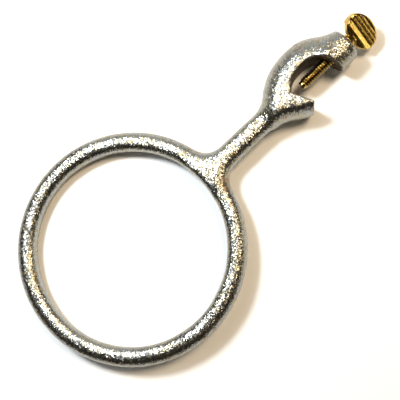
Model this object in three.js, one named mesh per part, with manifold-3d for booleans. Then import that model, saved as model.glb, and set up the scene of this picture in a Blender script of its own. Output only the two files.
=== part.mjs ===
// Support ring with an integral open hook clamp and a brass thumbscrew.
// Millimetres, +Z up. The origin is the centre of the ring, on the mid-plane of
// the casting. +Z is the axis of the ring. +X runs from the ring's centre along
// the stem and along the thumbscrew, towards the screw's head.
import * as THREE from 'three';
import { mergeVertices } from 'three/addons/utils/BufferGeometryUtils.js';
import Module from 'manifold-3d';

// ---------------------------------------------------------------- dimensions
const RING_MEAN_R = 42.25;      // ring centreline radius: 76.3 inside, 92.7 outside
const RING_BAR_R = 4.1;         // round section of the ring
const STEM_R_ROOT = 4.65;       // stem radius beside the ring
const STEM_R_END = 4.5;         // stem radius beside the clamp
const STEM_X0 = 41.2;
const STEM_X1 = 83.0;
const ROOT_FILLET_R = 6.5;      // plan fillet between ring and stem
const ROOT_WEB_HALF = 3.1;      // half thickness of that fillet web
const CLAMP_HALF_T = 8.0;       // half thickness of the clamp along Z
const HOOK_BULGE = 8.2;         // how far the back of the hook is rounded out
const NECK_X = 75.2;            // where the clamp starts to rise above the stem
const NECK_SLOPE = 0.75;
const BOSS_X0 = 105.6;          // screw boss, buried in the hook's arm
const BOSS_X1 = 116.4;          // outer face of the boss
const BOSS_HALF_Y = 6.5;
const BORE_R = 2.75;            // plain screw hole, clear of the thread crests
const THREAD_PITCH = 25.4 / 24; // 3/16 inch, 24 threads per inch
const THREAD_MAJOR_R = 2.381;
const THREAD_DEPTH = 0.62;
const THREAD_X0 = 93.9;
const THREAD_X1 = 116.6;
const POINT_X0 = 92.0;          // flat end of the screw
const POINT_X1 = 93.6;
const POINT_R = 1.7;
const HEAD_X = 123.5;           // centre of the spade head
const HEAD_HALF_L = 5.6;        // half length along the screw
const HEAD_HALF_W = 7.8;        // half width across the screw
const HEAD_HALF_T = 1.9;        // half thickness without the ribs
const HEAD_TURN = THREE.MathUtils.degToRad(37); // how the spade stands at rest
const COLLAR_R = 3.3;

// Back of the hook, in plan: the outermost edge of the casting.
const HOOK_BACK = [
  [75.6, 4.9], [80.1, 9.1], [86.5, 12.7], [94.2, 14.2], [101.6, 13.5],
  [106.4, 11.6], [110.6, 9.2], [114.4, 6.4],
];
// Rod hollow in plan: the two flats of the seat meet at the second corner.
const HOLLOW = [
  [91.0, -8.8], [86.7, 0.0], [90.2, 3.5], [92.2, 4.4], [94.7, 4.95], [97.6, 5.15],
  [100.4, 4.75], [102.8, 3.55], [104.8, 1.7], [106.3, -0.7],
  [107.3, -3.0], [107.7, -5.0], [107.7, -16.0], [97.5, -16.0],
];
// Neck and lower jaw in plan.
const JAW = [
  [73.6, 3.2], [77.0, 2.6], [82.0, 2.2], [86.5, 3.6], [90.2, 5.0], [94.0, 4.8], [94.0, -2.0],
  [91.0, -8.8], [87.8, -11.6], [83.9, -9.7], [78.6, -6.0], [73.6, -4.1],
];

// ------------------------------------------------------------------- helpers
const wasm = await Module();
wasm.setup();
const { Manifold, Mesh } = wasm;

function solid(geometry) {
  const g = geometry.clone();
  g.deleteAttribute('normal');
  g.deleteAttribute('uv');
  const m = mergeVertices(g, 1e-4);
  return new Manifold(new Mesh({
    numProp: 3,
    vertProperties: new Float32Array(m.attributes.position.array),
    triVerts: new Uint32Array(m.index.array),
  }));
}

function geometryOf(manifold) {
  const mesh = manifold.getMesh();
  const p = new Float32Array((mesh.vertProperties.length / mesh.numProp) * 3);
  for (let i = 0; i < p.length / 3; i++) {
    for (let k = 0; k < 3; k++) p[3 * i + k] = mesh.vertProperties[mesh.numProp * i + k];
  }
  const g = new THREE.BufferGeometry();
  g.setAttribute('position', new THREE.BufferAttribute(p, 3));
  g.setIndex(Array.from(mesh.triVerts));
  g.computeVertexNormals();
  return g;
}

function shapeOf(points) {
  return new THREE.Shape(points.map(([x, y]) => new THREE.Vector2(x, y)));
}

// A flat plan shape, extruded evenly either side of the mid-plane.
function slab(shape, half, bevel = null, curveSegments = 8) {
  const o = { depth: 2 * half, bevelEnabled: false, curveSegments };
  if (bevel) {
    o.bevelEnabled = true;
    o.bevelThickness = bevel.t;
    o.bevelSize = bevel.s;
    o.bevelOffset = -bevel.s;
    o.bevelSegments = bevel.n;
    o.depth = 2 * (half - bevel.t);
  }
  return new THREE.ExtrudeGeometry(shape, o).translate(0, 0, -o.depth / 2);
}

// A cylinder or cone whose axis lies along X.
function along(x0, r0, x1, r1, segments) {
  return new THREE.CylinderGeometry(r1, r0, x1 - x0, segments, 1)
    .rotateZ(-Math.PI / 2).translate((x0 + x1) / 2, 0, 0);
}

// ------------------------------------------------------------------- casting
function castingGeometry() {
  const ring = solid(new THREE.TorusGeometry(RING_MEAN_R, RING_BAR_R, 14, 80));
  const stem = solid(along(STEM_X0, STEM_R_ROOT, STEM_X1, STEM_R_END, 20));

  // Web that fillets the ring into the stem, from the ring's centreline outwards.
  const outer = RING_MEAN_R + RING_BAR_R;
  const yc = STEM_R_ROOT + ROOT_FILLET_R;
  const xc = Math.sqrt((outer + ROOT_FILLET_R) ** 2 - yc * yc);
  const a0 = Math.atan2(-yc, -xc);
  const root = [];
  for (let i = 0; i <= 6; i++) {
    const a = a0 + (-Math.PI / 2 - a0) * (i / 6);
    root.push([xc + ROOT_FILLET_R * Math.cos(a), yc + ROOT_FILLET_R * Math.sin(a)]);
  }
  const half = [[42.0, 11.0], ...root, [58, 2.5]];
  const web = [...half.map(([x, y]) => [x, -y]), ...half.slice().reverse()];
  const webSolid = solid(slab(shapeOf(web), ROOT_WEB_HALF, { t: 1.2, s: 0.9, n: 2 }));

  // Back of the hook: a D section swept along the back, rounded side outwards.
  const back = new THREE.CatmullRomCurve3(HOOK_BACK.map(([x, y]) => new THREE.Vector3(x, y, 0)));
  const inset = [];
  for (let i = 0; i <= 12; i++) {
    const p = back.getPointAt(i / 12);
    const t = back.getTangentAt(i / 12);
    inset.push(new THREE.Vector3(p.x + t.y * HOOK_BULGE, p.y - t.x * HOOK_BULGE, 0));
  }
  const path = new THREE.CatmullRomCurve3(inset);
  const f = path.computeFrenetFrames(22, false);
  const s = f.normals[0].dot(new THREE.Vector3(-f.tangents[0].y, f.tangents[0].x, 0));
  const z = Math.abs(f.normals[0].z) > 0.5;
  const section = [];
  const put = (n, b) => section.push(z ? [b, n * Math.sign(f.binormals[0].dot(new THREE.Vector3(-f.tangents[0].y, f.tangents[0].x, 0)))] : [n * Math.sign(s), b]);
  put(-3.4, -CLAMP_HALF_T + 0.5);
  for (let i = 0; i <= 10; i++) {
    const a = -Math.PI / 2 + Math.PI * (i / 10);
    const c = Math.cos(a), d = Math.sin(a);
    put(HOOK_BULGE * Math.pow(Math.abs(c), 0.85), CLAMP_HALF_T * Math.sign(d) * Math.pow(Math.abs(d), 0.85));
  }
  put(-3.4, CLAMP_HALF_T - 0.5);
  const hookShape = shapeOf(section);
  const hook = solid(new THREE.ExtrudeGeometry(hookShape, { steps: 22, bevelEnabled: false, extrudePath: path }));

  const jaw = solid(slab(shapeOf(JAW), CLAMP_HALF_T, { t: 3.6, s: 2.4, n: 3 }));

  // Boss that carries the screw: a rounded block along X.
  const b = new THREE.Shape();
  const hy = BOSS_HALF_Y, hz = CLAMP_HALF_T - 0.6, r = 5.2;
  b.moveTo(-hz + r, -hy);
  b.lineTo(hz - r, -hy);
  b.absarc(hz - r, -hy + r, r, -Math.PI / 2, 0, false);
  b.lineTo(hz, hy - r);
  b.absarc(hz - r, hy - r, r, 0, Math.PI / 2, false);
  b.lineTo(-hz + r, hy);
  b.absarc(-hz + r, hy - r, r, Math.PI / 2, Math.PI, false);
  b.lineTo(-hz, -hy + r);
  b.absarc(-hz + r, -hy + r, r, Math.PI, 1.5 * Math.PI, false);
  const bossGeo = new THREE.ExtrudeGeometry(b, {
    depth: BOSS_X1 - BOSS_X0 - 1.6, curveSegments: 5,
    bevelEnabled: true, bevelThickness: 0.8, bevelSize: 0.8, bevelOffset: -0.8, bevelSegments: 2,
  }).translate(0, 0, BOSS_X0 + 0.8);
  // shape x -> Z, shape y -> Y, depth -> X
  bossGeo.applyMatrix4(new THREE.Matrix4().set(
    0, 0, 1, 0,
    0, 1, 0, 0,
    -1, 0, 0, 0,
    0, 0, 0, 1));
  const boss = solid(bossGeo);

  const hollow = solid(slab(shapeOf(HOLLOW), CLAMP_HALF_T + 3));
  const bore = solid(along(BOSS_X0 - 6, BORE_R, BOSS_X1 + 4, BORE_R, 20));

  // The clamp's full height tapers down to the stem at the neck.
  const k = Math.hypot(NECK_SLOPE, 1);
  const nx = NECK_SLOPE / k, nz = 1 / k, off = nx * NECK_X - nz * STEM_R_END;
  const clamp = hook.add(jaw).trimByPlane([nx, 0, -nz], off).trimByPlane([nx, 0, nz], off);

  const body = ring.add(stem).add(webSolid).add(clamp).add(boss)
    .subtract(hollow).subtract(bore);
  const pieces = body.decompose();
  pieces.sort((p, q) => q.volume() - p.volume());
  return geometryOf(pieces[0]);
}

// --------------------------------------------------------------- thumbscrew
// Right-hand thread: the surface of a cylinder, moved in and out along a helix.
function threadGeometry() {
  const turns = (THREAD_X1 - THREAD_X0) / THREAD_PITCH;
  const rows = Math.round(turns * 4);
  const sides = 12;
  const len = THREAD_X1 - THREAD_X0;
  const g = new THREE.CylinderGeometry(THREAD_MAJOR_R, THREAD_MAJOR_R, len, sides, rows);
  g.rotateZ(-Math.PI / 2).translate((THREAD_X0 + THREAD_X1) / 2, 0, 0);
  const p = g.attributes.position;
  for (let i = 0; i < p.count; i++) {
    const x = p.getX(i), y = p.getY(i), zz = p.getZ(i);
    const rr = Math.hypot(y, zz);
    if (rr < 1e-6) continue;
    const phase = (x - THREAD_X0) / THREAD_PITCH - Math.atan2(zz, y) / (2 * Math.PI);
    const w = Math.abs(((phase % 1) + 1) % 1 - 0.5) * 2;
    const lead = Math.min(1, (x - THREAD_X0) / 0.9);
    const r = THREAD_MAJOR_R - THREAD_DEPTH * (lead < 1 ? Math.max(w, 1 - lead) : w);
    p.setXYZ(i, x, (y / rr) * r, (zz / rr) * r);
  }
  return g;
}

function headOutline(hl, hw, n = 40, e = 2.0) {
  const pts = [];
  for (let i = 0; i < n; i++) {
    const a = (2 * Math.PI * i) / n, c = Math.cos(a), s = Math.sin(a);
    pts.push([
      hl * Math.sign(c) * Math.pow(Math.abs(c), 2 / e),
      hw * Math.sign(s) * Math.pow(Math.abs(s), 2 / e),
    ]);
  }
  return pts;
}

function thumbScrewGeometry() {
  const plate = solid(slab(shapeOf(headOutline(HEAD_HALF_L, HEAD_HALF_W)), HEAD_HALF_T, { t: 0.7, s: 0.6, n: 2 }));
  // Four raised grip ribs on each face, across the screw.
  let ribs = null;
  for (const [x, w] of [[-1.75, 2.0], [0.3, 1.05], [1.85, 1.0], [3.2, 0.8]]) {
    const bar = solid(new THREE.BoxGeometry(w, 2 * HEAD_HALF_W, 2 * (HEAD_HALF_T + 0.45)).translate(x, 0, 0));
    ribs = ribs ? ribs.add(bar) : bar;
  }
  const clip = solid(slab(shapeOf(headOutline(HEAD_HALF_L - 0.45, HEAD_HALF_W - 0.45, 40)), HEAD_HALF_T + 2));
  const head = geometryOf(plate.add(ribs.intersect(clip)));
  head.rotateX(HEAD_TURN).translate(HEAD_X, 0, 0);
  const collar = along(116.95, COLLAR_R, 119.2, 2.6, 20);
  return geometryOf(solid(threadGeometry()).add(solid(along(116.0, 2.1, 119.0, 2.1, 12)))
    .add(solid(collar)).add(solid(head)));
}

function pointGeometry() {
  const r = POINT_R, c = 0.35;
  const profile = [[0, 0], [r - c, 0], [r, c], [r, POINT_X1 - POINT_X0], [0, POINT_X1 - POINT_X0]];
  return new THREE.LatheGeometry(profile.map(([a, b]) => new THREE.Vector2(a, b)), 20)
    .rotateZ(-Math.PI / 2).translate(POINT_X0, 0, 0);
}

// --------------------------------------------------------------------- model
const plated = new THREE.MeshStandardMaterial({ color: 0xb9b6a8, roughness: 0.42, metalness: 0.95 });
plated.name = 'plated_iron';
const brass = new THREE.MeshStandardMaterial({ color: 0xc79a3c, roughness: 0.3, metalness: 1.0 });
brass.name = 'brass';

const group = new THREE.Group();
group.name = 'support_ring';

const casting = new THREE.Mesh(castingGeometry(), plated);
casting.name = 'ring_clamp_casting';
group.add(casting);

const point = new THREE.Mesh(pointGeometry(), brass.clone());
point.name = 'screw_point';
group.add(point);

const screw = new THREE.Mesh(thumbScrewGeometry(), brass.clone());
screw.name = 'thumb_screw';
group.add(screw);

export default group;
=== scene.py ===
import math

import bpy
import bmesh
import numpy as np
import openvdb
from mathutils import Matrix, Vector


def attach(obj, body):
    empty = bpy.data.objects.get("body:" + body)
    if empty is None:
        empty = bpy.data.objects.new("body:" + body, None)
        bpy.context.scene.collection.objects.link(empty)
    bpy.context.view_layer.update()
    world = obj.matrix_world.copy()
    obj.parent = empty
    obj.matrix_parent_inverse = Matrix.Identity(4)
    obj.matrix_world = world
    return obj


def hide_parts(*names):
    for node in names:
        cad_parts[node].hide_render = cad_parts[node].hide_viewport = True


MM = 0.001
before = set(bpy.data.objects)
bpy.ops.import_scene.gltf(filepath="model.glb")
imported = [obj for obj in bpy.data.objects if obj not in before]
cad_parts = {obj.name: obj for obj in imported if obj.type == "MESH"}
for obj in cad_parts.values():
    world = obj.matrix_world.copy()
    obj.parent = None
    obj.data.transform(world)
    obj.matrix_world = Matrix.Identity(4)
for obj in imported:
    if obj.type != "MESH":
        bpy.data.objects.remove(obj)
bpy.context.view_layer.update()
scene = bpy.context.scene


# ------------------------------------------------------------------ camera
# The camera looks almost straight down on the ring, from 300 mm away.
FOCAL_PX = 760.0
ANG = math.radians(43.25)
TILT = (-8.780e-02, 1.412e-01)
SHIFT = (-27.3984, 19.0312, 300.3079)


def tilt_matrix(tx, ty):
    a = math.hypot(tx, ty)
    k = (tx / a, ty / a, 0.0)
    K = np.array([[0, -k[2], k[1]], [k[2], 0, -k[0]], [-k[1], k[0], 0]])
    return np.eye(3) + math.sin(a) * K + (1 - math.cos(a)) * K @ K


c, s = math.cos(ANG), math.sin(ANG)
M_CAD = np.array([[c, -s, 0], [-s, -c, 0], [0, 0, -1.0]])
R_CAM = tilt_matrix(*TILT) @ M_CAD
T_CAM = np.array(SHIFT) * MM
cam_data = bpy.data.cameras.new("camera")
cam_data.sensor_fit = "HORIZONTAL"
cam_data.sensor_width = 36.0
cam_data.lens = FOCAL_PX / 400.0 * 36.0
cam_data.clip_start = 0.01
cam_data.clip_end = 20.0
cam = bpy.data.objects.new("camera", cam_data)
scene.collection.objects.link(cam)
RB = np.diag([1.0, -1.0, -1.0]) @ R_CAM
m = Matrix([list(row) + [0.0] for row in RB.T.tolist()] + [[0, 0, 0, 1.0]])
m.translation = Vector((-(R_CAM.T @ T_CAM)).tolist())
cam.matrix_world = m
scene.camera = cam


def image_dir(right, down, toward):
    """A direction given as right and down in the picture and towards the camera, in the CAD frame."""
    v = R_CAM.T @ np.array([right, down, -toward], float)
    return Vector((v / np.linalg.norm(v)).tolist())


# ------------------------------------------------------------- solid helpers
def smin(a, b, k):
    h = np.maximum(k - np.abs(a - b), 0.0) / k
    return np.minimum(a, b) - h * h * (k * 0.25)


def smax(a, b, k):
    return -smin(-a, -b, k)


def spline(points, closed=False, step=0.8):
    """Centripetal-free Catmull-Rom through the points."""
    p = np.array(points, float)
    n = len(p)
    out = []
    segs = n if closed else n - 1
    for i in range(segs):
        p1, p2 = p[i % n], p[(i + 1) % n]
        p0 = p[(i - 1) % n] if closed or i > 0 else 2 * p1 - p2
        p3 = p[(i + 2) % n] if closed or i + 2 < n else 2 * p2 - p1
        m_ = max(2, int(np.linalg.norm(p2 - p1) / step))
        for j in range(m_):
            t = j / m_
            out.append(0.5 * ((2 * p1) + (p2 - p0) * t + (2 * p0 - 5 * p1 + 4 * p2 - p3) * t * t
                              + (3 * p1 - p0 - 3 * p2 + p3) * t ** 3))
    if not closed:
        out.append(p[-1])
    return np.array(out)


def polygon_sd(x, y, poly):
    """Signed distance to a closed polygon, negative inside."""
    d = np.full(x.shape, 1e9)
    inside = np.zeros(x.shape, bool)
    n = len(poly)
    for i in range(n):
        ax, ay = poly[i]
        bx, by = poly[(i + 1) % n]
        ex, ey = bx - ax, by - ay
        wx, wy = x - ax, y - ay
        t = np.clip((wx * ex + wy * ey) / max(ex * ex + ey * ey, 1e-12), 0, 1)
        d = np.minimum(d, (wx - ex * t) ** 2 + (wy - ey * t) ** 2)
        if ay != by:
            c_ = ((ay <= y) & (by > y)) | ((by <= y) & (ay > y))
            xi = ax + (y - ay) * ex / ey
            inside ^= c_ & (x < xi)
    d = np.sqrt(d)
    return np.where(inside, -d, d)


def line_distance(x, y, pts):
    d = np.full(x.shape, 1e9)
    for (ax, ay), (bx, by) in zip(pts[:-1], pts[1:]):
        ex, ey = bx - ax, by - ay
        wx, wy = x - ax, y - ay
        t = np.clip((wx * ex + wy * ey) / max(ex * ex + ey * ey, 1e-12), 0, 1)
        d = np.minimum(d, (wx - ex * t) ** 2 + (wy - ey * t) ** 2)
    return np.sqrt(d)


def lattice_noise(x, y, z, cell, seed):
    """Smooth value noise, -1 to 1, on a lattice of the given cell size."""
    r = np.random.RandomState(seed).rand(32, 32, 32).astype(np.float32) * 2 - 1
    u, v, w = x / cell, y / cell, z / cell
    iu, iv, iw = np.floor(u).astype(int), np.floor(v).astype(int), np.floor(w).astype(int)
    fu, fv, fw = u - iu, v - iv, w - iw
    fu, fv, fw = fu * fu * (3 - 2 * fu), fv * fv * (3 - 2 * fv), fw * fw * (3 - 2 * fw)
    out = 0
    for a in (0, 1):
        for b in (0, 1):
            for g in (0, 1):
                wgt = (fu if a else 1 - fu) * (fv if b else 1 - fv) * (fw if g else 1 - fw)
                out = out + wgt * r[(iu + a) % 32, (iv + b) % 32, (iw + g) % 32]
    return out


def mesh_from_field(name, sd, lo, h, adaptivity=0.0):
    """The zero surface of a sampled field as one closed Blender mesh, in metres."""
    grid = openvdb.FloatGrid(3.0)
    grid.copyFromArray(np.ascontiguousarray(np.clip(sd, -3, 3).astype(np.float32)))
    pts, tris, quads = grid.convertToPolygons(isovalue=0.0, adaptivity=adaptivity)
    pts = (np.asarray(pts, float) * h + np.array(lo)) * MM
    faces = [tuple(int(i) for i in q) for q in quads] + [tuple(int(i) for i in t) for t in tris]
    me = bpy.data.meshes.new(name)
    me.from_pydata([tuple(p) for p in pts.tolist()], [], faces)
    me.validate()
    bm = bmesh.new()
    bm.from_mesh(me)
    bmesh.ops.remove_doubles(bm, verts=bm.verts, dist=1e-7)
    loose = [v for v in bm.verts if not v.link_faces]
    bmesh.ops.delete(bm, geom=loose, context="VERTS")
    if bm.calc_volume(signed=True) < 0:
        bmesh.ops.reverse_faces(bm, faces=bm.faces)
    bm.to_mesh(me)
    bm.free()
    me.polygons.foreach_set("use_smooth", [True] * len(me.polygons))
    me.update()
    ob = bpy.data.objects.new(name, me)
    scene.collection.objects.link(ob)
    return ob


def axes(lo, hi, h):
    return [np.arange(lo[i], hi[i] + h, h) for i in range(3)]


# ---------------------------------------------------------------- dimensions
RING_R, BAR_R = 42.25, 4.05
HALF_T = 7.40
HOOK_BACK = [[75.8, 4.7], [80.2, 8.9], [86.5, 12.5], [94.2, 14.2], [101.6, 13.9],
             [106.4, 12.1], [110.4, 9.5], [114.0, 6.8]]
JAW_UNDER = [[73.8, -4.1], [78.6, -6.1], [83.9, -9.6], [87.8, -11.6], [92.0, -13.6]]
BULGE, UNDER = 8.6, 5.4
SEAT = [[90.9, -8.8], [86.75, 0.1], [90.2, 3.5]]
ARCH = [[90.2, 3.5], [92.2, 4.4], [94.7, 4.95], [97.6, 5.15], [100.4, 4.75], [102.8, 3.55],
        [104.8, 1.7], [106.3, -0.7], [107.3, -3.0], [107.7, -5.0]]


def casting_field(X, Y, Z):
    x2, y2 = X[:, :, 0], Y[:, :, 0]
    # ring and stem
    rho = np.sqrt(X * X + Y * Y)
    ring = np.sqrt((rho - RING_R) ** 2 + Z * Z) - BAR_R
    rs = np.interp(X, [42, 52, 70, 84], [4.75, 4.65, 4.45, 4.5])
    stem = np.sqrt((Y - 0.12) ** 2 + Z * Z) - rs
    stem = np.maximum(stem, np.maximum(41.5 - X, X - 84.0))
    d = smin(ring, stem, 7.2)
    d = smax(d, np.abs(Z) - 4.75, 1.6)
    # the ring's hole stays round behind the stem
    d = smax(d, (RING_R - BAR_R + 0.05) - np.sqrt(rho ** 2 + 0.9 * Z * Z), 1.0)

    sel = x2[:, 0] > 66
    xs, ys = x2[sel], y2[sel]
    Xs, Ys, Zs = X[sel], Y[sel], Z[sel]
    q = 1 - np.sqrt(np.clip(1 - (Zs / HALF_T) ** 2, 0, 1))
    # hook and jaw in one outline; the back is rounded far more than the jaw
    back, under = spline(HOOK_BACK), spline(JAW_UNDER)
    outline = np.vstack([back, [[115.2, 4.5], [115.2, -1.0], [112.4, -5.4], [106.0, -5.6], [98, -12]], under[::-1], [[73.6, -2.5], [73.4, 2.5]]])
    plan = polygon_sd(xs, ys, outline)
    db, du = line_distance(xs, ys, back), line_distance(xs, ys, under)
    wgt = np.clip(du / (du + db + 1e-6) * 1.5 - 0.25, 0, 1)
    wgt = wgt * wgt * (3 - 2 * wgt)
    bulge = UNDER + (BULGE - UNDER) * wgt
    body = plan[:, :, None] + bulge[:, :, None] * q
    body = body / np.sqrt(1 + np.clip((bulge[:, :, None] / HALF_T * np.abs(Zs) / HALF_T / np.maximum(1 - q, 0.12)) ** 2, 0, 9))
    body = smax(body, np.abs(Zs) - HALF_T, 0.5)
    # boss
    by, bz, br = 6.3, 7.0, 5.6
    qy, qz = np.abs(Ys) - (by - br), np.abs(Zs) - (bz - br)
    boss = np.sqrt(np.maximum(qy, 0) ** 2 + np.maximum(qz, 0) ** 2) + np.minimum(np.maximum(qy, qz), 0) - br
    boss = smax(boss, np.maximum(Xs - 116.35, 102.0 - Xs), 1.3)
    clamp = smin(body, boss, 3.0)
    # rod hollow
    hollow = np.vstack([[SEAT[0]], [SEAT[1]], spline(ARCH), [[107.75, -16], [96, -22], [84.2, -15.0]]])
    hd = polygon_sd(xs, ys, hollow)[:, :, None] + 0 * Zs
    d[sel] = smin(d[sel], clamp, 3.4)
    cut = smax(d[sel], -hd, 0.7)
    bore = np.sqrt(Ys ** 2 + Zs ** 2) - 2.5
    d[sel] = np.where(Xs > 100, smax(cut, -bore, 0.5), cut)
    return d


def make_casting():
    h = 0.36
    lo, hi = (-47.6, -47.6, -9.0), (118.0, 47.6, 9.0)
    ax = axes(lo, hi, h)
    X, Y, Z = np.meshgrid(*ax, indexing="ij")
    d = casting_field(X, Y, Z)
    band = np.abs(d) < 1.5
    xb, yb, zb = X[band], Y[band], Z[band]
    n = (0.09 * lattice_noise(xb, yb, zb, 7.0, 3) + 0.018 * lattice_noise(xb, yb, zb, 2.6, 5)
         + 0.007 * lattice_noise(xb, yb, zb, 1.15, 8))
    d[band] += n + 0.03
    return mesh_from_field("casting_surface", d, lo, h)


# ---------------------------------------------------------------- thumbscrew
PITCH, MAJOR, MINOR = 25.4 / 24, 2.36, 1.80
TH0, TH1 = 93.55, 117.4
HEAD_X, HEAD_L, HEAD_W, HEAD_TURN = 123.5, 5.56, 7.95, math.radians(37)


def thread_radius(phase):
    """Rounded 60 degree profile over one pitch."""
    w = np.abs((phase % 1.0) - 0.5) * 2          # 1 at the crest's centre
    t = np.clip((w - 0.10) / 0.74, 0, 1)
    t = t * t * (3 - 2 * t) * 0.35 + t * 0.65
    return MINOR + (MAJOR - MINOR) * t


def make_thread():
    """Threaded shank: rows of vertices that follow the helix, right-hand."""
    n, m_ = 56, 10
    turns = (TH1 - TH0) / PITCH
    total = int(math.ceil((turns + 2) * n))
    bm = bmesh.new()
    cols = []
    for i in range(total + 1):
        a = 2 * math.pi * i / n
        col = []
        for j in range(m_):
            x = TH0 - PITCH + (i / n + j / m_) * PITCH
            r = float(thread_radius(np.array(j / m_ + 0.5)))
            xc_ = min(max(x, TH0), TH1)
            r = min(r, 1.66 + (xc_ - TH0) * 1.0)
            col.append(bm.verts.new((xc_ * MM, r * math.cos(a) * MM, r * math.sin(a) * MM)))
        cols.append(col)
    # positive X with increasing angle about +X: right-hand helix
    for i in range(total):
        for j in range(m_):
            a, b = cols[i][j], cols[i + 1][j]
            if j + 1 < m_:
                c_, d_ = cols[i + 1][j + 1], cols[i][j + 1]
            else:
                if i + n + 1 > total:
                    continue
                c_, d_ = cols[i + n + 1][0], cols[i + n][0]
            try:
                bm.faces.new((a, b, c_, d_))
            except ValueError:
                pass
    bmesh.ops.remove_doubles(bm, verts=bm.verts, dist=2e-6)
    bmesh.ops.dissolve_degenerate(bm, dist=1e-6, edges=bm.edges)
    edges = [e for e in bm.edges if e.is_boundary]
    bmesh.ops.holes_fill(bm, edges=edges, sides=0)
    loose = [v for v in bm.verts if not v.link_faces]
    bmesh.ops.delete(bm, geom=loose, context="VERTS")
    bmesh.ops.recalc_face_normals(bm, faces=bm.faces)
    if bm.calc_volume(signed=True) < 0:
        bmesh.ops.reverse_faces(bm, faces=bm.faces)
    me = bpy.data.meshes.new("screw_thread")
    bm.to_mesh(me)
    bm.free()
    me.polygons.foreach_set("use_smooth", [True] * len(me.polygons))
    ob = bpy.data.objects.new("screw_thread", me)
    scene.collection.objects.link(ob)
    return ob


def make_head():
    h = 0.10
    lo, hi = (116.2, -8.6, -6.2), (130.0, 8.6, 6.2)
    X, Y, Z = np.meshgrid(*axes(lo, hi, h), indexing="ij")
    ct, st = math.cos(HEAD_TURN), math.sin(HEAD_TURN)
    u = X - HEAD_X
    v = Y * ct + Z * st + 0.35
    w = -Y * st + Z * ct
    e = 2.0
    k = (np.abs(u / HEAD_L) ** e + np.abs(v / HEAD_W) ** e) ** (1 / e)
    plan = (k - 1) * np.minimum(HEAD_L, HEAD_W) * 0.98
    base = np.interp(u, [-7, -2.95, -2.7, -0.8, -0.55, 3.9, 6.2], [1.28, 1.32, 2.22, 1.46, 1.30, 1.38, 1.24])
    d = smax(plan, np.abs(w) - base, 0.6)
    inner = plan + 0.45
    for x0, wd in ((0.28, 1.1), (1.80, 1.05), (3.2, 0.85)):
        ridge = np.maximum(np.abs(u - x0) - wd / 2, np.abs(w) - (base + 0.52 - 0.17 * (u - x0 + wd / 2)))
        ridge = smax(ridge, inner, 0.4)
        d = smin(d, ridge, 0.12)
    collar = np.sqrt(Y ** 2 + Z ** 2) - np.interp(X, [116.9, 117.3, 118.3, 119.3], [3.1, 3.15, 2.6, 1.5])
    collar = smax(collar, np.maximum(116.95 - X, X - 119.3), 0.35)
    d = smin(d, collar, 0.8)
    d = d + 0.004 * lattice_noise(X, Y, Z, 1.9, 21)
    return mesh_from_field("screw_head", d, lo, h, adaptivity=0.0)


def make_point():
    """Plain round end of the screw, chamfered, turned from a profile."""
    prof = [(92.0, 0.0), (92.0, 0.95), (92.02, 1.22), (92.12, 1.42), (92.3, 1.58), (92.55, 1.66),
            (93.3, 1.69), (93.62, 1.69), (93.7, 1.6), (93.7, 0.0)]
    n = 64
    bm = bmesh.new()
    rings = []
    for x, r in prof:
        if r == 0:
            rings.append([bm.verts.new((x * MM, 0, 0))])
        else:
            rings.append([bm.verts.new((x * MM, r * math.cos(2 * math.pi * i / n) * MM, r * math.sin(2 * math.pi * i / n) * MM)) for i in range(n)])
    for a, b in zip(rings, rings[1:]):
        for i in range(n):
            j = (i + 1) % n
            if len(a) == 1:
                bm.faces.new((a[0], b[j], b[i]))
            elif len(b) == 1:
                bm.faces.new((a[i], a[j], b[0]))
            else:
                bm.faces.new((a[i], a[j], b[j], b[i]))
    bmesh.ops.recalc_face_normals(bm, faces=bm.faces)
    if bm.calc_volume(signed=True) < 0:
        bmesh.ops.reverse_faces(bm, faces=bm.faces)
    me = bpy.data.meshes.new("screw_end")
    bm.to_mesh(me)
    bm.free()
    me.polygons.foreach_set("use_smooth", [True] * len(me.polygons))
    ob = bpy.data.objects.new("screw_end", me)
    scene.collection.objects.link(ob)
    return ob


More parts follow.
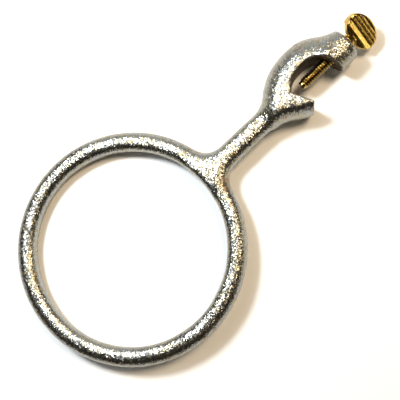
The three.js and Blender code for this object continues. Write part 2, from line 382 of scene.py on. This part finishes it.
# ----------------------------------------------------------------- materials
class Tree:
    def __init__(self, name):
        self.mat = bpy.data.materials.new(name)
        self.mat.use_nodes = True
        self.t = self.mat.node_tree
        self.t.nodes.clear()
        self.out = self.t.nodes.new("ShaderNodeOutputMaterial")
        self.b = self.t.nodes.new("ShaderNodeBsdfPrincipled")
        self.t.links.new(self.b.outputs[0], self.out.inputs[0])

    def node(self, kind, **kw):
        n = self.t.nodes.new(kind)
        ins = kw.pop("ins", {})
        for k, v in kw.items():
            setattr(n, k, v)
        for k, v in ins.items():
            if isinstance(v, bpy.types.NodeSocket):
                self.t.links.new(v, n.inputs[k])
            else:
                n.inputs[k].default_value = v
        return n

    def math(self, op, a, b=0.0, c_=None, clamp=False):
        n = self.t.nodes.new("ShaderNodeMath")
        n.operation = op
        n.use_clamp = clamp
        for i, v in enumerate((a, b) if c_ is None else (a, b, c_)):
            if isinstance(v, bpy.types.NodeSocket):
                self.t.links.new(v, n.inputs[i])
            else:
                n.inputs[i].default_value = v
        return n.outputs[0]

    def mix(self, f, a, b):
        n = self.t.nodes.new("ShaderNodeMix")
        n.data_type = "RGBA"
        for i, v in ((0, f), (6, a), (7, b)):
            if isinstance(v, bpy.types.NodeSocket):
                self.t.links.new(v, n.inputs[i])
            else:
                n.inputs[i].default_value = v if i == 0 else (*v, 1.0)
        return n.outputs[2]

    def ramp(self, f, stops):
        n = self.t.nodes.new("ShaderNodeValToRGB")
        self.t.links.new(f, n.inputs[0])
        el = n.color_ramp.elements
        while len(el) > 1:
            el.remove(el[-1])
        for i, (p, col) in enumerate(stops):
            e = el[0] if i == 0 else el.new(p)
            e.position = p
            e.color = (*col, 1.0) if len(col) == 3 else col
        return n.outputs[0]

    def noise(self, vec, scale, detail=2.0, rough=0.5):
        return self.node("ShaderNodeTexNoise", ins={"Vector": vec, "Scale": scale, "Detail": detail, "Roughness": rough}).outputs["Fac"]

    def facets(self, vec, scales):
        """The surface normal, tilted at random from grain to grain."""
        geo = self.node("ShaderNodeNewGeometry")
        nrm = geo.outputs["Normal"]
        for kind, scale, amount in scales:
            if kind == "cell":
                tex = self.node("ShaderNodeTexVoronoi", feature="F1", ins={"Vector": vec, "Scale": scale, "Randomness": 1.0}).outputs["Color"]
            else:
                tex = self.node("ShaderNodeTexNoise", ins={"Vector": vec, "Scale": scale, "Detail": 1.0}).outputs["Color"]
            off = self.node("ShaderNodeVectorMath", operation="SUBTRACT", ins={0: tex, 1: (0.5, 0.5, 0.5)}).outputs[0]
            off = self.node("ShaderNodeVectorMath", operation="SCALE", ins={0: off, "Scale": amount}).outputs[0]
            nrm = self.node("ShaderNodeVectorMath", operation="ADD", ins={0: nrm, 1: off}).outputs[0]
        return self.node("ShaderNodeVectorMath", operation="NORMALIZE", ins={0: nrm}).outputs[0]

    def blob(self, vec, centre, radius):
        """1 at the centre, falling to 0 at the radius. Metres."""
        d = self.node("ShaderNodeVectorMath", operation="DISTANCE", ins={0: vec, 1: centre}).outputs["Value"]
        return self.node("ShaderNodeMapRange", interpolation_type="SMOOTHSTEP",
                         ins={"Value": d, "From Min": radius, "From Max": 0.0, "To Min": 0.0, "To Max": 1.0}).outputs[0]


def plated_iron():
    t = Tree("plated_iron")
    co = t.node("ShaderNodeTexCoord").outputs["Object"]
    fine = t.noise(co, 2300.0, 2.0, 0.6)
    mid = t.noise(co, 620.0, 3.0, 0.6)
    big = t.noise(co, 95.0, 3.0, 0.55)
    # base colour: bright plating, with warm toned grains and dull grey patches
    warm = t.ramp(mid, [(0.36, (0.31, 0.32, 0.32)), (0.52, (0.32, 0.315, 0.265)), (0.66, (0.28, 0.235, 0.13))])
    col = t.mix(t.math("MULTIPLY", t.ramp(big, [(0.42, (0, 0, 0)), (0.62, (1, 1, 1))]), 0.5), warm, (0.27, 0.275, 0.28))
    pits = t.ramp(fine, [(0.30, (1, 1, 1)), (0.40, (0, 0, 0))])
    col = t.mix(t.math("MULTIPLY", pits, 0.6), col, (0.10, 0.085, 0.06))
    # rusty marks: at the parting line across the back of the hook and where the fillet ends on the ring
    spots = None
    for cx, cy, cz, rad in ((101.3, 12.7, 3.0, 2.8), (100.9, 9.8, 6.0, 2.6), (45.5, -6.5, 2.6, 3.6), (43.6, -9.6, 2.8, 2.6), (79.0, -5.0, 4.0, 2.4)):
        b = t.blob(co, (cx * MM, cy * MM, cz * MM), rad * MM)
        spots = b if spots is None else t.math("MAXIMUM", spots, b)
    gate = t.ramp(t.noise(co, 900.0, 3.0, 0.65), [(0.42, (0, 0, 0)), (0.56, (1, 1, 1))])
    rust = t.math("MULTIPLY", spots, gate)
    col = t.mix(t.math("MULTIPLY", rust, 0.85), col, (0.27, 0.14, 0.05))
    # painted shade: dark brown base colour on the steep walls of the rod hollow, standing in for the shade inside it
    xyz = t.node("ShaderNodeSeparateXYZ", ins={0: co})
    dx = t.math("SUBTRACT", xyz.outputs[0], 97.2 * MM)
    dy = t.math("SUBTRACT", xyz.outputs[1], -3.4 * MM)
    rr = t.math("SQRT", t.math("ADD", t.math("MULTIPLY", dx, dx), t.math("MULTIPLY", dy, dy)))
    near = t.node("ShaderNodeMapRange", ins={"Value": rr, "From Min": 11.9 * MM, "From Max": 10.9 * MM, "To Min": 0.0, "To Max": 1.0}).outputs[0]
    nz = t.node("ShaderNodeSeparateXYZ", ins={0: t.node("ShaderNodeNewGeometry").outputs["Normal"]}).outputs[2]
    steep = t.node("ShaderNodeMapRange", ins={"Value": t.math("ABSOLUTE", nz), "From Min": 0.55, "From Max": 0.25, "To Min": 0.0, "To Max": 1.0}).outputs[0]
    painted_hollow_shade = t.math("MULTIPLY", near, steep)
    # painted shade in the hollow: the base colour is darkened to brown where the mask is set
    col = t.mix(t.math("MULTIPLY", painted_hollow_shade, 0.93), col, t.ramp(mid, [(0.4, (0.030, 0.019, 0.009)), (0.65, (0.10, 0.062, 0.030))]))
    t.t.links.new(col, t.b.inputs["Base Color"])
    t.b.inputs["Metallic"].default_value = 1.0
    r = t.node("ShaderNodeMapRange", ins={"Value": mid, "From Min": 0.3, "From Max": 0.7, "To Min": 0.20, "To Max": 0.32}).outputs[0]
    r = t.math("ADD", r, t.math("MULTIPLY", rust, 0.25))
    r = t.math("ADD", r, t.math("MULTIPLY", painted_hollow_shade, 0.2), clamp=True)
    t.t.links.new(r, t.b.inputs["Roughness"])
    t.t.links.new(t.facets(co, (("cell", 3300.0, 0.42), ("noise", 2700.0, 0.50), ("noise", 1100.0, 0.12))), t.b.inputs["Normal"])
    return t.mat


def brass():
    t = Tree("brass")
    co = t.node("ShaderNodeTexCoord").outputs["Object"]
    fine = t.noise(co, 2600.0, 2.0, 0.6)
    mid = t.noise(co, 480.0, 3.0, 0.6)
    col = t.ramp(mid, [(0.34, (0.60, 0.43, 0.14)), (0.52, (0.52, 0.35, 0.10)), (0.70, (0.32, 0.19, 0.05))])
    dark = t.ramp(fine, [(0.28, (1, 1, 1)), (0.38, (0, 0, 0))])
    col = t.mix(t.math("MULTIPLY", dark, 0.6), col, (0.14, 0.08, 0.025))
    # painted shade: the roots of the thread darkened in the base colour
    xyz = t.node("ShaderNodeSeparateXYZ", ins={0: co})
    yy, zz = xyz.outputs[1], xyz.outputs[2]
    rad = t.math("SQRT", t.math("ADD", t.math("MULTIPLY", yy, yy), t.math("MULTIPLY", zz, zz)))
    root = t.node("ShaderNodeMapRange", ins={"Value": rad, "From Min": 2.28 * MM, "From Max": 1.95 * MM, "To Min": 0.0, "To Max": 1.0}).outputs[0]
    shank = t.math("MULTIPLY", t.math("LESS_THAN", xyz.outputs[0], 116.2 * MM), t.math("GREATER_THAN", xyz.outputs[0], 94.0 * MM))
    painted_root_shade = t.math("MULTIPLY", root, shank)
    # painted shade in the thread roots: the base colour turns near black there
    col = t.mix(t.math("MULTIPLY", painted_root_shade, 0.9), col, (0.045, 0.034, 0.010))
    t.t.links.new(col, t.b.inputs["Base Color"])
    t.b.inputs["Metallic"].default_value = 1.0
    r = t.node("ShaderNodeMapRange", ins={"Value": mid, "From Min": 0.3, "From Max": 0.7, "To Min": 0.15, "To Max": 0.24}).outputs[0]
    t.t.links.new(r, t.b.inputs["Roughness"])
    t.t.links.new(t.facets(co, (("cell", 4200.0, 0.06), ("noise", 2600.0, 0.08))), t.b.inputs["Normal"])
    return t.mat


# -------------------------------------------------------------------- pieces
iron, gold = plated_iron(), brass()
casting = make_casting()
casting.data.materials.append(iron)
thread = make_thread()
head = make_head()
point = make_point()
for ob in (thread, head, point):
    ob.data.materials.append(gold)

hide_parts("ring_clamp_casting")
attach(casting, "casting")
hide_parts("thumb_screw")
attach(head, "screw")
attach(thread, "screw")
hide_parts("thumb_screw")
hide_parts("screw_point")
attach(point, "screw_slide")

# --------------------------------------------------------------------- stage
bpy.ops.mesh.primitive_plane_add(size=4.0, location=(0, 0, 0))
floor = bpy.context.object
floor.name = "floor"
# the ring lies on the +Y side of its bar and on the lower side of the clamp
Z0, SX, SY = -7.25, -0.0165, 0.070
floor.rotation_euler = Vector((-SX, -SY, 1.0)).to_track_quat("Z", "Y").to_euler()
floor.location = (0, 0, Z0 * MM)
fm = Tree("floor")
fm.b.inputs["Base Color"].default_value = (0.93, 0.93, 0.93, 1)
fm.b.inputs["Roughness"].default_value = 0.9
fm.b.inputs["Specular IOR Level"].default_value = 0.1
floor.data.materials.append(fm.mat)

def place(px, py, up):
    """A point above the ring's mid-plane, given by where it stands in the picture's plane, in metres."""
    v = np.array([(px - 132.2) * 0.396 * MM, (py - 249.6) * 0.396 * MM, 0.0])
    w = M_CAD.T @ v
    return Vector((w[0], w[1], up))


def area(name, where, target, size, watts, colour):
    L = bpy.data.lights.new(name, "AREA")
    L.shape = "DISK"
    L.size = size
    L.energy = watts
    L.color = colour
    ob = bpy.data.objects.new(name, L)
    ob.location = where
    ob.rotation_euler = (Vector(target) - where).to_track_quat("-Z", "Y").to_euler()
    scene.collection.objects.link(ob)
    return ob


area("key", place(-140, -100, 0.36), (0.04, 0, 0), 0.085, 1.55, (0.92, 0.97, 1.0))
area("glow", place(-200, -180, 0.42), (0.04, 0, 0), 0.32, 0.62, (0.93, 0.97, 1.0))
area("warm", place(850, -250, 0.62), (0.04, 0, 0), 0.20, 2.95, (1.0, 0.785, 0.52))
area("accent", place(1590, 130, 0.075), (0.12, 0, 0), 0.17, 0.30, (1.0, 0.90, 0.66))
# pale surround on the far side of the hook
area("wall", place(120, -1500, 0.26), (0.04, 0, 0), 0.75, 1.25, (0.95, 0.98, 1.0))

world = bpy.data.worlds.new("world")
scene.world = world
world.use_nodes = True
bg = world.node_tree.nodes["Background"]
bg.inputs[0].default_value = (1.0, 0.84, 0.66, 1)
bg.inputs[1].default_value = 0.04
scene.view_settings.view_transform = "Standard"
scene.view_settings.look = "None"
scene.view_settings.exposure = 0.0
